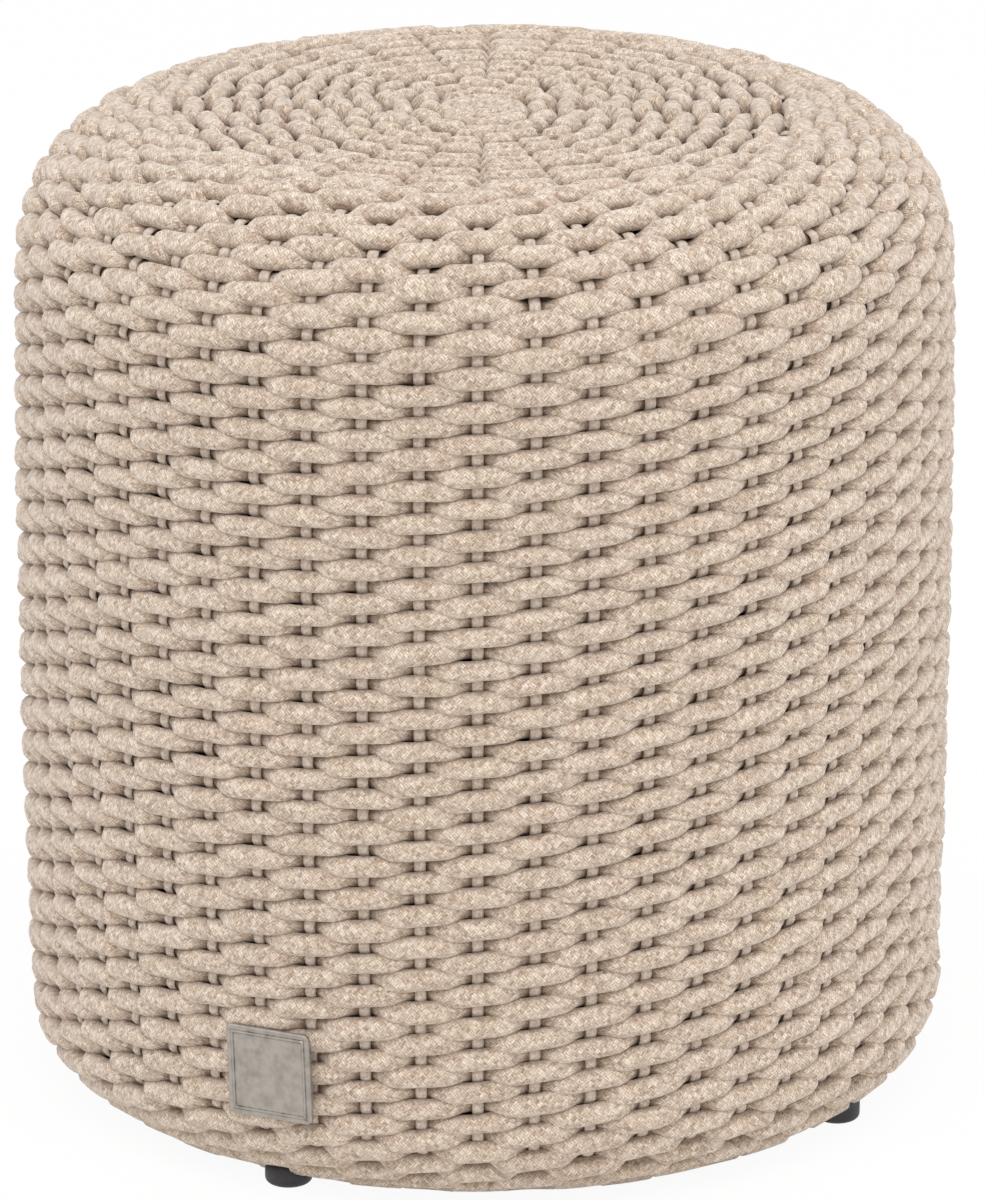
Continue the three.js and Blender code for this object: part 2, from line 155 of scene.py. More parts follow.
world = bpy.data.worlds.new("studio")
world.use_nodes = True
bpy.context.scene.world = world
tree = world.node_tree
tree.nodes.clear()
sky = add_node(tree, "ShaderNodeBackground", {"Color": (1, 1, 1, 1), "Strength": SKY_STRENGTH})
backdrop = add_node(tree, "ShaderNodeBackground", {"Color": (1, 1, 1, 1), "Strength": 1.0})
mix = add_node(tree, "ShaderNodeMixShader", {0: seen_directly(tree), 1: sky.outputs[0], 2: backdrop.outputs[0]})
add_node(tree, "ShaderNodeOutputWorld", {"Surface": mix.outputs[0]})

for name, lamp in LAMPS.items():
    light = bpy.data.lights.new(name, "AREA")
    light.size = lamp["size"]
    light.energy = lamp["power"]
    holder = bpy.data.objects.new(name, light)
    holder.location = lamp["place"]
    holder.rotation_euler = (holder.location - cover_middle).to_track_quat("Z", "Y").to_euler()
    bpy.context.scene.collection.objects.link(holder)


# Frame
# Round aluminium tube, bent and cut to fit before welding: a long hoop that is two legs and a bar
# under the top, a half hoop to the front and one to the back, and three rings in four parts each.
LEG_RADIUS = 0.010
RING_TUBE_RADIUS = 0.008
TUBE_WALL = 0.0015
HOOP_BEND_RADIUS = 0.040
TOP_RING_RADIUS = 0.112
JOINT_GAP = 0.0003
TUBE_SIDES = 24
BEND_STEPS = 12
ARC_STEPS = 28
CAD_LEG_SIDES = 12
SAME_PLACE = 1e-6
MIRROR_MERGE = 1e-5
PEEL_WAVE = 0.0020
DUST_PATCHES_PER_METRE = 30.0
COAT_COLOURS = [(0.35, "#68635d"), (0.70, "#78736c")]
COAT_ROUGHNESS = {"To Min": 0.42, "To Max": 0.62}
COAT_IOR = 1.5

leg_axis_radius = sum(corner.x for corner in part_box("glide_1")) / 2
leg_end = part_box("frame_long_hoop")[0].z
hoop_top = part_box("frame_long_hoop")[1].z - LEG_RADIUS * math.cos(math.pi / CAD_LEG_SIDES)
ring_axis_radius = leg_axis_radius + LEG_RADIUS - RING_TUBE_RADIUS
ring_heights = {
    place: sum(corner.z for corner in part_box(f"frame_{place}_ring_1")) / 2 for place in ("bottom", "upper", "top")
}


def add_piece(name, bm, smooth=True):
    mesh = bpy.data.meshes.new(name)
    bm.to_mesh(mesh)
    bm.free()
    mesh.polygons.foreach_set("use_smooth", [smooth] * len(mesh.polygons))
    piece = bpy.data.objects.new(name, mesh)
    bpy.context.scene.collection.objects.link(piece)
    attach(piece, "root")
    return piece


def powder_coat():
    """Thermoset powder coat in taupe grey, sprayed and baked: satin, with a faint orange peel and a
    little dust, which is duller and lies in patches three centimetres wide."""
    material, tree = new_material("powder_coated_aluminium")
    where = add_node(tree, "ShaderNodeTexCoord").outputs["Object"]
    peel = add_node(tree, "ShaderNodeTexNoise", {
        "Vector": where, "Scale": 1 / PEEL_WAVE, "Detail": 1.0}).outputs["Fac"]
    dust = add_node(tree, "ShaderNodeTexNoise", {
        "Vector": where, "Scale": DUST_PATCHES_PER_METRE, "Detail": 4.0}).outputs["Fac"]
    colour = add_node(tree, "ShaderNodeValToRGB", {"Fac": dust}, stops=COAT_COLOURS).outputs["Color"]
    gloss = add_node(tree, "ShaderNodeMapRange", {"Value": dust} | COAT_ROUGHNESS).outputs[0]
    bump = add_node(tree, "ShaderNodeBump", {"Height": peel, "Strength": 0.25, "Distance": 0.0002}).outputs[0]
    shader = add_node(tree, "ShaderNodeBsdfPrincipled", {
        "Base Color": colour, "Roughness": gloss, "Normal": bump, "IOR": COAT_IOR})
    add_node(tree, "ShaderNodeOutputMaterial", {"Surface": shader.outputs[0]})
    return material


def hoop_leg():
    """A leg, its bend and its bar under the top, from the foot on +X to the middle, as a skin that
    has no wall yet."""
    bm = bmesh.new()
    foot = Matrix.Translation((leg_axis_radius, 0, leg_end))
    bmesh.ops.create_circle(bm, segments=TUBE_SIDES, radius=LEG_RADIUS, matrix=foot)
    leg = bmesh.ops.extrude_edge_only(bm, edges=bm.edges[:])["geom"]
    rise = (0, 0, hoop_top - HOOP_BEND_RADIUS - leg_end)
    bmesh.ops.translate(bm, verts=[v for v in leg if isinstance(v, bmesh.types.BMVert)], vec=rise)
    ring = [item for item in leg if isinstance(item, bmesh.types.BMVert) or (
        isinstance(item, bmesh.types.BMEdge) and abs(item.verts[0].co.z - item.verts[1].co.z) < SAME_PLACE)]
    bend_centre = (leg_axis_radius - HOOP_BEND_RADIUS, 0, hoop_top - HOOP_BEND_RADIUS)
    bend = bmesh.ops.spin(bm, geom=ring, cent=bend_centre, axis=(0, -1, 0), angle=math.pi / 2,
                          steps=BEND_STEPS, use_duplicate=False)["geom_last"]
    bar = bmesh.ops.extrude_edge_only(bm, edges=[e for e in bend if isinstance(e, bmesh.types.BMEdge)])["geom"]
    run = (HOOP_BEND_RADIUS - leg_axis_radius, 0, 0)
    bmesh.ops.translate(bm, verts=[v for v in bar if isinstance(v, bmesh.types.BMVert)], vec=run)
    return bm


def standing_trim(radius, height):
    """How far round a ring's line meets the outside of an upright leg, the same at any height."""
    reach = LEG_RADIUS + JOINT_GAP
    return math.acos((radius ** 2 + leg_axis_radius ** 2 - reach ** 2) / (2 * leg_axis_radius * radius))


def lying_trim(radius, height):
    """How far round a ring's line meets the outside of a bar under the top."""
    reach = LEG_RADIUS + JOINT_GAP
    return math.asin(math.sqrt(reach ** 2 - (height - hoop_top) ** 2) / radius)


def ring_arc(axis_radius, height, trim, quarter):
    """A quarter of a ring of tube, its ends shaped to the tubes that it is welded to."""
    bm = bmesh.new()
    stand = Matrix.Translation((axis_radius, 0, height)) @ Matrix.Rotation(math.pi / 2, 4, "X")
    bmesh.ops.create_circle(bm, segments=TUBE_SIDES, radius=RING_TUBE_RADIUS, matrix=stand)
    bmesh.ops.spin(bm, geom=bm.verts[:] + bm.edges[:], cent=(0, 0, 0), axis=(0, 0, 1), angle=math.pi / 2,
                   steps=ARC_STEPS, use_duplicate=False)
    for vert in bm.verts:
        radius = math.hypot(vert.co.x, vert.co.y)
        share = math.atan2(vert.co.y, vert.co.x) / (math.pi / 2)
        ends = trim(radius, vert.co.z)
        angle = quarter * math.pi / 2 + ends + share * (math.pi / 2 - 2 * ends)
        vert.co.x, vert.co.y = radius * math.cos(angle), radius * math.sin(angle)
    return bm


def finish_tube(bm, node):
    bmesh.ops.recalc_face_normals(bm, faces=bm.faces[:])
    tube = add_piece(f"{node}_tube", bm)
    wall = tube.modifiers.new("wall", "SOLIDIFY")
    wall.thickness = TUBE_WALL
    wall.offset = -1
    tube.data.materials.append(coat)
    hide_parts(node)


coat = powder_coat()
bm = hoop_leg()
bmesh.ops.mirror(bm, geom=bm.verts[:] + bm.edges[:] + bm.faces[:], matrix=Matrix.Identity(4),
                 merge_dist=MIRROR_MERGE, axis="X")
finish_tube(bm, "frame_long_hoop")

for direction, node in ((-math.pi / 2, "frame_half_hoop_front"), (math.pi / 2, "frame_half_hoop_back")):
    bm = hoop_leg()
    for vert in bm.verts:
        if vert.co.x < LEG_RADIUS:
            vert.co.x = math.sqrt((LEG_RADIUS + JOINT_GAP) ** 2 - (vert.co.z - hoop_top) ** 2)
    bmesh.ops.rotate(bm, verts=bm.verts[:], cent=(0, 0, 0), matrix=Matrix.Rotation(direction, 3, "Z"))
    finish_tube(bm, node)

rings = {
    "bottom": (ring_axis_radius, ring_heights["bottom"], standing_trim),
    "upper": (ring_axis_radius, ring_heights["upper"], standing_trim),
    "top": (TOP_RING_RADIUS, ring_heights["top"], lying_trim),
}
for place, (axis_radius, height, trim) in rings.items():
    for quarter in range(4):
        finish_tube(ring_arc(axis_radius, height, trim, quarter), f"frame_{place}_ring_{quarter + 1}")


# Welds of the frame
# Aluminium beads run round every joint by hand with a filler rod, which leaves the small ripples,
# and coated over together with the tubes.
BEAD_RADIUS = 0.0020
BEAD_RIPPLE = 0.12
RIPPLE_COUNT = 18
BEAD_STEPS = 72
BEAD_SIDES = 8
TEMPLATE_SECTION = 0.1


def ring_template(steps, sides):
    """A ring of round section, spun from a circle, with the places of its vertices: how far round
    the ring, and how far round the section from its outermost line. Its size is a stand-in, because
    whoever uses it moves every vertex."""
    bm = bmesh.new()
    stand = Matrix.Translation((1, 0, 0)) @ Matrix.Rotation(math.pi / 2, 4, "X")
    bmesh.ops.create_circle(bm, segments=sides, radius=TEMPLATE_SECTION, matrix=stand)
    bmesh.ops.spin(bm, geom=bm.verts[:] + bm.edges[:], cent=(0, 0, 0), axis=(0, 0, 1),
                   angle=2 * math.pi, steps=steps, use_merge=True, use_duplicate=False)
    bmesh.ops.recalc_face_normals(bm, faces=bm.faces[:])
    bm.loops.layers.uv.new("braid")
    mesh = bpy.data.meshes.new("ring_template")
    bm.to_mesh(mesh)
    bm.free()
    place = np.empty(len(mesh.vertices) * 3)
    mesh.vertices.foreach_get("co", place)
    place = place.reshape(-1, 3)
    turn = np.arctan2(place[:, 1], place[:, 0])
    around = np.arctan2(place[:, 2], np.hypot(place[:, 0], place[:, 1]) - 1)
    return mesh, turn, around


bead, turn, around = ring_template(BEAD_STEPS, BEAD_SIDES)
bead_radius = BEAD_RADIUS * (1 + BEAD_RIPPLE * np.sin(RIPPLE_COUNT * turn))
out_of_tube, along_tube = bead_radius * np.cos(around), bead_radius * np.sin(around)
welds = bmesh.new()
for axis_radius, height, trim in rings.values():
    radius = axis_radius + RING_TUBE_RADIUS * np.cos(turn)
    level = height + RING_TUBE_RADIUS * np.sin(turn)
    joint = np.array([trim(r, z) for r, z in zip(radius, level)])
    for quarter in range(4):
        for side in (-1, 1):
            angle = quarter * math.pi / 2 + side * joint
            r = radius + out_of_tube * np.cos(turn)
            x = r * np.cos(angle) - side * along_tube * np.sin(angle)
            y = r * np.sin(angle) + side * along_tube * np.cos(angle)
            z = level + out_of_tube * np.sin(turn)
            bead.vertices.foreach_set("co", np.stack([x, y, z], -1).ravel())
            welds.from_mesh(bead)
across = LEG_RADIUS * np.cos(turn)
joint = np.sqrt((LEG_RADIUS + JOINT_GAP) ** 2 - (LEG_RADIUS * np.sin(turn)) ** 2)
for side in (-1, 1):
    x = across + out_of_tube * np.cos(turn)
    y = side * (joint + along_tube)
    z = hoop_top + LEG_RADIUS * np.sin(turn) + out_of_tube * np.sin(turn)
    bead.vertices.foreach_set("co", np.stack([x, y, z], -1).ravel())
    welds.from_mesh(bead)
bmesh.ops.recalc_face_normals(welds, faces=welds.faces[:])
piece = add_piece("frame_welds", welds)
piece.data.materials.append(coat)


# Glides
# Round black polyethylene feet, injection moulded, that are pushed into the ends of the legs and
# held there by two fins.
GLIDE_RADIUS = 0.01075
GLIDE_HEAD_HEIGHT = 0.011
GLIDE_EDGE_ROUND = 0.0025
GLIDE_PLUG_LENGTH = 0.020
GLIDE_PLUG_RADIUS = 0.0079
GLIDE_FIN_DEPTH = 0.0012
GLIDE_FIN_HEIGHTS = (0.018, 0.025)
GLIDE_STEPS = 40
EDGE_STEPS = 5
LEVEL_FACE = 0.99
GRAIN_WIDTH = 0.0010
SCUFF_LENGTH = 0.00625
PLASTIC_COLOURS = [(0.40, "#232123"), (0.75, "#3b3839")]
PLASTIC_ROUGHNESS = {"To Min": 0.40, "To Max": 0.65}
POLYETHYLENE_IOR = 1.54


def moulded_polyethylene():
    """Black high-density polyethylene with carbon black, moulded in a spark-eroded tool: a waxy
    half-matt skin with a grain of half a millimetre, drawn at one so that it shows, and pale scuffs
    six millimetres long."""
    material, tree = new_material("moulded_black_polyethylene")
    where = add_node(tree, "ShaderNodeTexCoord").outputs["Object"]
    grain = add_node(tree, "ShaderNodeTexNoise", {
        "Vector": where, "Scale": 1 / GRAIN_WIDTH, "Detail": 2.0}).outputs["Fac"]
    scuffs = add_node(tree, "ShaderNodeTexNoise", {
        "Vector": where, "Scale": 1 / SCUFF_LENGTH, "Detail": 5.0}).outputs["Fac"]
    colour = add_node(tree, "ShaderNodeValToRGB", {"Fac": scuffs}, stops=PLASTIC_COLOURS).outputs["Color"]
    gloss = add_node(tree, "ShaderNodeMapRange", {"Value": scuffs} | PLASTIC_ROUGHNESS).outputs[0]
    bump = add_node(tree, "ShaderNodeBump", {"Height": grain, "Strength": 0.4, "Distance": 0.0001}).outputs[0]
    shader = add_node(tree, "ShaderNodeBsdfPrincipled", {
        "Base Color": colour, "Roughness": gloss, "Normal": bump, "IOR": POLYETHYLENE_IOR})
    add_node(tree, "ShaderNodeOutputMaterial", {"Surface": shader.outputs[0]})
    return material


core = GLIDE_PLUG_RADIUS - GLIDE_FIN_DEPTH
profile = [(0, 0)]
for step in range(EDGE_STEPS + 1):
    angle = math.pi / 2 * step / EDGE_STEPS
    profile.append((GLIDE_RADIUS - GLIDE_EDGE_ROUND * (1 - math.sin(angle)), GLIDE_EDGE_ROUND * (1 - math.cos(angle))))
profile += [(GLIDE_RADIUS, GLIDE_HEAD_HEIGHT), (core, GLIDE_HEAD_HEIGHT)]
for height in GLIDE_FIN_HEIGHTS:
    profile += [(core, height - GLIDE_FIN_DEPTH), (GLIDE_PLUG_RADIUS, height), (core, height)]
profile += [(core, GLIDE_HEAD_HEIGHT + GLIDE_PLUG_LENGTH), (0, GLIDE_HEAD_HEIGHT + GLIDE_PLUG_LENGTH)]

black_plastic = moulded_polyethylene()
for quarter in range(4):
    node = f"glide_{quarter + 1}"
    bm = bmesh.new()
    verts = [bm.verts.new((radius, 0, height)) for radius, height in profile]
    edges = [bm.edges.new(pair) for pair in zip(verts, verts[1:])]
    bmesh.ops.spin(bm, geom=verts + edges, cent=(0, 0, 0), axis=(0, 0, 1), angle=2 * math.pi, steps=GLIDE_STEPS,
                   use_merge=True, use_duplicate=False)
    bmesh.ops.remove_doubles(bm, verts=bm.verts[:], dist=SAME_PLACE)
    bmesh.ops.recalc_face_normals(bm, faces=bm.faces[:])
    low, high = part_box(node)
    bmesh.ops.translate(bm, verts=bm.verts[:], vec=((low.x + high.x) / 2, (low.y + high.y) / 2, low.z))
    piece = add_piece(f"{node}_foot", bm, smooth=False)
    for face in piece.data.polygons:
        face.use_smooth = abs(face.normal.z) < LEVEL_FACE
    piece.data.materials.append(black_plastic)
    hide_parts(node)


# Rivet nuts
# Blind rivet nuts of zinc-plated steel, pressed into the wall of the front leg to take the studs of
# the plate. Their CAD shapes stay.
MOTTLES_PER_METRE = 900.0
ZINC_COLOURS = [(0.30, "#9fa2a5"), (0.70, "#c3c5c6")]
ZINC_ROUGHNESS = {"To Min": 0.25, "To Max": 0.45}


def zinc_plate():
    """Bright zinc electroplate on steel: a cool grey metal with a faint mottle from the bath, about
    a millimetre wide."""
    material, tree = new_material("zinc_plated_steel")
    where = add_node(tree, "ShaderNodeTexCoord").outputs["Object"]
    mottle = add_node(tree, "ShaderNodeTexNoise", {
        "Vector": where, "Scale": MOTTLES_PER_METRE, "Detail": 3.0}).outputs["Fac"]
    colour = add_node(tree, "ShaderNodeValToRGB", {"Fac": mottle}, stops=ZINC_COLOURS).outputs["Color"]
    gloss = add_node(tree, "ShaderNodeMapRange", {"Value": mottle} | ZINC_ROUGHNESS).outputs[0]
    shader = add_node(tree, "ShaderNodeBsdfPrincipled", {
        "Base Color": colour, "Metallic": 1.0, "Roughness": gloss})
    add_node(tree, "ShaderNodeOutputMaterial", {"Surface": shader.outputs[0]})
    return material


zinc = zinc_plate()
for node in ("label_rivet_nut_1", "label_rivet_nut_2"):
    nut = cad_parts[node]
    nut.data.materials.clear()
    nut.data.materials.append(zinc)


# Cover, its outline and its courses
# The drum's outside is a slightly bellied side with a rounded shoulder and a tighter rounded foot.
# The rope lies in courses along it, wider apart over the shoulder than under it.
WARPS = 52
COVER_RADIUS = 0.215
COVER_HEIGHT = 0.454
BARREL_DEPTH = 0.0037
TOP_CORNER_RADIUS = 0.0705
BOTTOM_CORNER_RADIUS = 0.0447
CORNER_ROUNDNESS = 2.2
HEM_RADIUS = 0.158
BASE_SAG = 0.0020
OUTLINE_STEPS = 60
PITCH_STEPS = 400
TOP_PITCH = 0.0069
# From the seam to the hem, the distance from course to course
SIDE_PITCH = {"share": (0.0, 0.16, 0.25, 0.5, 0.85, 1.0), "pitch": (0.0083, 0.0083, 0.0070, 0.0074, 0.0077, 0.0077)}
# At heights over the floor, the slope of the rows, and the side of the drum on which they climb
ROW_TILT = {"height": (0.12, 0.19, 0.26, 0.33, 0.40), "tilt": (0.06, 0.045, 0.02, 0.01, 0.0)}
CLIMBING_SIDE = math.radians(28.5)


def drawn_in(radius, height):
    """A radius less what the bellied side takes from it at that height."""
    share = (height - cover_middle.z) / (COVER_HEIGHT / 2)
    return radius - BARREL_DEPTH * radius / COVER_RADIUS * share ** 2


def corner_line(radius, centre_height, start, end):
    """The outline of the rounded shoulder or foot, which is a little squarer than a quarter circle."""
    angle = np.linspace(start, end, OUTLINE_STEPS)
    across, up = np.cos(angle), np.sin(angle)
    reach = radius / (np.abs(across) ** CORNER_ROUNDNESS + np.abs(up) ** CORNER_ROUNDNESS) ** (1 / CORNER_ROUNDNESS)
    height = centre_height + up * reach
    return np.stack([drawn_in(COVER_RADIUS - radius + across * reach, height), height], -1)


class Outline:
    """The cover's outside, as places along it from the centre of the top to the hem."""

    def __init__(self):
        shoulder = corner_line(TOP_CORNER_RADIUS, cover_top - TOP_CORNER_RADIUS, math.pi / 2, 0)
        lowest = cover_bottom - BASE_SAG
        foot = corner_line(BOTTOM_CORNER_RADIUS, lowest + BOTTOM_CORNER_RADIUS, 0, -math.pi / 2)
        height = np.linspace(shoulder[-1, 1], foot[0, 1], OUTLINE_STEPS)[1:-1]
        side = np.stack([drawn_in(COVER_RADIUS, height), height], -1)
        self.points = np.concatenate([[[0, cover_top]], shoulder, side, foot, [[HEM_RADIUS, lowest]]])
        steps = np.linalg.norm(np.diff(self.points, axis=0), axis=1)
        self.along = np.concatenate([[0], np.cumsum(steps)])
        self.seam = self.along[1]
        self.side_start = self.along[len(shoulder)]
        self.base_start = self.along[len(shoulder) + len(side) + 1]
        self.end = self.along[-1]

    def at(self, place):
        """The radius and the height at a place."""
        return np.array([np.interp(place, self.along, self.points[:, i]) for i in (0, 1)])

    def outwards(self, place):
        """The direction straight out of the cover at a place, taken over the width of a course."""
        ahead = self.at(min(place + TOP_PITCH / 2, self.end)) - self.at(max(place - TOP_PITCH / 2, 0))
        ahead /= np.linalg.norm(ahead)
        return np.array([-ahead[1], ahead[0]])


def course_places():
    """The places of the courses from the seam to the hem, as many as fit at their pitch."""
    steps = np.linspace(outline.seam, outline.end, PITCH_STEPS)
    share = (steps - outline.seam) / (outline.end - outline.seam)
    rate = 1 / np.interp(share, SIDE_PITCH["share"], SIDE_PITCH["pitch"])
    count = np.concatenate([[0], np.cumsum((rate[1:] + rate[:-1]) / 2 * np.diff(steps))])
    courses = round(count[-1])
    return np.interp((np.arange(courses) + 0.5) * count[-1] / courses, count, steps)


def row_rise(height, out, angle):
    """How far the courses climb on one side of the footstool, and fall on the other."""
    tilt = np.interp(height, ROW_TILT["height"], ROW_TILT["tilt"])
    return tilt * COVER_RADIUS * np.cos(angle - CLIMBING_SIDE) * out ** 2


outline = Outline()
side_places = course_places()
top_rings = round(outline.seam / TOP_PITCH)
top_places = outline.seam / top_rings * (np.arange(top_rings) + 0.5)


# Warp cords
# Flat pale polyester cords, five millimetres wide, strung to the hem under the rope by turns from
# near the centre of the top and from beside the seam. They show as short upright bits between the
# floats of the rope.
WARP_HALF_WIDTH = 0.0026
WARP_HALF_DEPTH = 0.0011
NARROWEST_WARP = 0.35
WARP_SIDES = 8
WARP_STEPS = 420
WARP_DEPTH = 0.0078
WARP_CRIMP = 0.0020
WARP_TOP_START = 0.018
SPECK_WIDTH = 0.00125
YARN_COLOURS = [(0.30, "#b9aa9c"), (0.50, "#d2c3b5"), (0.70, "#e6d9cc")]


def warp_yarn():
    """Solution-dyed polyester cord, woven flat from white and pale beige yarns: matt and uneven,
    with light specks. The yarns are half a millimetre thick, and are drawn at a bit over one so
    that they show."""
    material, tree = new_material("woven_polyester_warp")
    where = add_node(tree, "ShaderNodeTexCoord").outputs["Object"]
    specks = add_node(tree, "ShaderNodeTexNoise", {
        "Vector": where, "Scale": 1 / SPECK_WIDTH, "Detail": 2.0}).outputs["Fac"]
    colour = add_node(tree, "ShaderNodeValToRGB", {"Fac": specks}, stops=YARN_COLOURS).outputs["Color"]
    bump = add_node(tree, "ShaderNodeBump", {"Height": specks, "Strength": 0.5, "Distance": 0.0004}).outputs[0]
    shader = add_node(tree, "ShaderNodeBsdfPrincipled", {
        "Base Color": colour, "Roughness": 0.9, "Normal": bump, "Specular IOR Level": 0.3})
    add_node(tree, "ShaderNodeOutputMaterial", {"Surface": shader.outputs[0]})
    return material


def warp_template():
    """A straight cord of unit size with eight sides, cut across into short lengths. It runs down
    from its upper end."""
    bm = bmesh.new()
    bmesh.ops.create_cone(bm, cap_ends=True, cap_tris=False, segments=WARP_SIDES, radius1=1, radius2=1, depth=2)
    lengthways = [e for e in bm.edges if abs(e.verts[0].co.z - e.verts[1].co.z) > 1]
    bmesh.ops.subdivide_edges(bm, edges=lengthways, cuts=WARP_STEPS, use_grid_fill=True)
    mesh = bpy.data.meshes.new("warp_template")
    bm.to_mesh(mesh)
    bm.free()
    flat = np.empty(len(mesh.vertices) * 3)
    mesh.vertices.foreach_get("co", flat)
    return mesh, flat.reshape(-1, 3)


template, flat = warp_template()
long_cords, short_cords = bmesh.new(), bmesh.new()
for warp in range(WARPS):
    start = WARP_TOP_START if warp % 2 == 0 else outline.seam - TOP_PITCH
    places = start + (1 - flat[:, 2]) / 2 * (outline.end - start)
    on_line = np.array([outline.at(p) for p in places])
    outs = np.array([outline.outwards(p) for p in places])
    angle = 2 * math.pi * warp / WARPS
    rise = row_rise(on_line[:, 1], outs[:, 0], angle)
    course = np.interp(places + rise, side_places, np.arange(len(side_places)))
    ring = np.interp(places, top_places, np.arange(top_rings))
    crimp = np.where(places > outline.seam, np.cos(math.pi * (course + warp)), np.cos(math.pi * (ring + warp / 2)))
    depth = -WARP_DEPTH - WARP_CRIMP * crimp + flat[:, 0] * WARP_HALF_DEPTH
    radius = on_line[:, 0] + outs[:, 0] * depth
    height = on_line[:, 1] + outs[:, 1] * depth
    sideways = flat[:, 1] * WARP_HALF_WIDTH * np.clip(places / outline.seam, NARROWEST_WARP, 1)
    x = radius * math.cos(angle) - sideways * math.sin(angle)
    y = radius * math.sin(angle) + sideways * math.cos(angle)
    template.vertices.foreach_set("co", np.stack([x, y, height], -1).ravel())
    (long_cords if warp % 2 == 0 else short_cords).from_mesh(template)
yarn = warp_yarn()
for name, cords, nodes in (
        ("warp_cords_long", long_cords, ("top_weave", "shoulder_weave", "side_weave", "base_weave")),
        ("warp_cords_short", short_cords, ("shoulder_weave", "side_weave", "base_weave"))):
    bmesh.ops.recalc_face_normals(cords, faces=cords.faces[:])
    piece = add_piece(name, cords)
    piece.data.materials.append(yarn)
    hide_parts(*nodes)


# Side rope
# Thick soft round rope of solution-dyed olefin, about 11 mm, braided from mixed beige yarns. It is
# woven by hand, course on course, in front of one warp and behind the next, from the seam over the
# shoulder and down the side, and on under the foot to the hem.
ROPE_SIDES = 12
STEPS_PER_WARP = 8
ROPE_HALF_DEPTH = 0.0048
SIDE_LOTS = 3
# How far the rope dives behind a warp, and how much less it does near the seam
DIVE = 0.0068
SEAM_DIVE = {"from_seam": (0.0, 0.016, 0.026, 0.036), "dive": (0.0022, 0.0028, 0.0048, DIVE)}
# Between the front of a warp, 0, and the back of the next, 1: where the rope dives, where painted
# shade darkens it, how far it slants, and half its height at the height places, as a share of the pitch
HEIGHT_PLACES = (0.0, 0.25, 0.5, 0.7, 0.83, 1.0)
SIDE_WEAVE = {
    "plunge": (0.48, 0.94), "dark": (0.76, 0.92), "slant": 0.0010,
    "front": (0.66, 0.64, 0.57, 0.46, 0.48, 0.58), "back": (0.60, 0.62, 0.72, 0.90, 1.00, 1.00)}
# Where a turn dives, its lower edge hangs down, and the painted shade starts sooner at its edges
# than in its middle, so that the unshaded part ends in a rounded tip
SAG = 0.0010
TIP_SHARPNESS = 0.16
# Painted shade darkens the creases above and below each turn too
FLANK_SHADE_WIDTH = math.radians(40)
FLANK_SHADE_SHARE = 0.4
# What the hand leaves uneven at each warp, in height as a share, up or down and outwards: the spread
# in tight rows, and what loose rows add to it. The loose rows are those over the shoulder.
UNEVEN = {"swell": (0.05, 0.05), "stray": (0.0003, 0.0006), "lift": (0.0004, 0.0004)}
UNEVEN_LEAN = 0.35
MOST_LIFT = 0.0006
RIM_LOOSENESS = {"share": (0.0, 0.03, 0.14, 0.22, 1.0), "loose": (0.4, 1.0, 1.0, 0.0, 0.0)}
# The braid is a grid of cells that stands on its corner, moved on from course to course. Each cell
# shows the yarns of one strand side by side, with streaks across and along it
BRAID_CELL = 0.0030
CELLS_AROUND = 10
CELLS_TO_NEXT_COURSE = 40
YARNS_PER_STRAND = (2, 1, 0)
YARN_STREAKS = (2.6, 0.8, 0)
STREAKS_TO_NEXT_CELL = (30, 30, 30)
YARN_RELIEF = 0.6
DYE_SHARE = 0.22
DRIFTS_PER_METRE = 34.0
ROPE_COLOURS = [(0.40, "#aa9581"), (0.52, "#c8b4a2"), (0.66, "#ddccbb"), (0.80, "#f3e6d8")]
# Painted shade: the grooves between the yarns are darker
GROOVE_SHADE_COLOURS = [(0.0, "#ddd3ca"), (0.5, "#ffffff")]
DRIFT_COLOURS = [(0.34, "#fffdfc"), (0.46, "#ffffff"), (0.56, "#ffffff"), (0.70, "#fefefb")]
# Painted shade where the rope sinks behind a warp and in the creases between its turns
PAINTED_SHADE_COLOURS = [(0.0, "#ffffff"), (1.0, "#9c8874")]


def eased(values, warp_place):
    """Values given at each warp, eased from warp to warp."""
    low = np.floor(warp_place).astype(int)
    ease = (1 - np.cos(math.pi * (warp_place - low))) / 2
    return values[low % len(values)] * (1 - ease) + values[(low + 1) % len(values)] * ease


def face_places(mesh, angle):
    """The angle at each corner of each face, without a jump inside a face."""
    corners = np.empty(len(mesh.loops), dtype=int)
    mesh.loops.foreach_get("vertex_index", corners)
    face = angle[corners].reshape(-1, 4)
    jumps = face.max(1) - face.min(1) > math.pi
    return np.where(jumps[:, None] & (face < 0), face + 2 * math.pi, face).ravel()


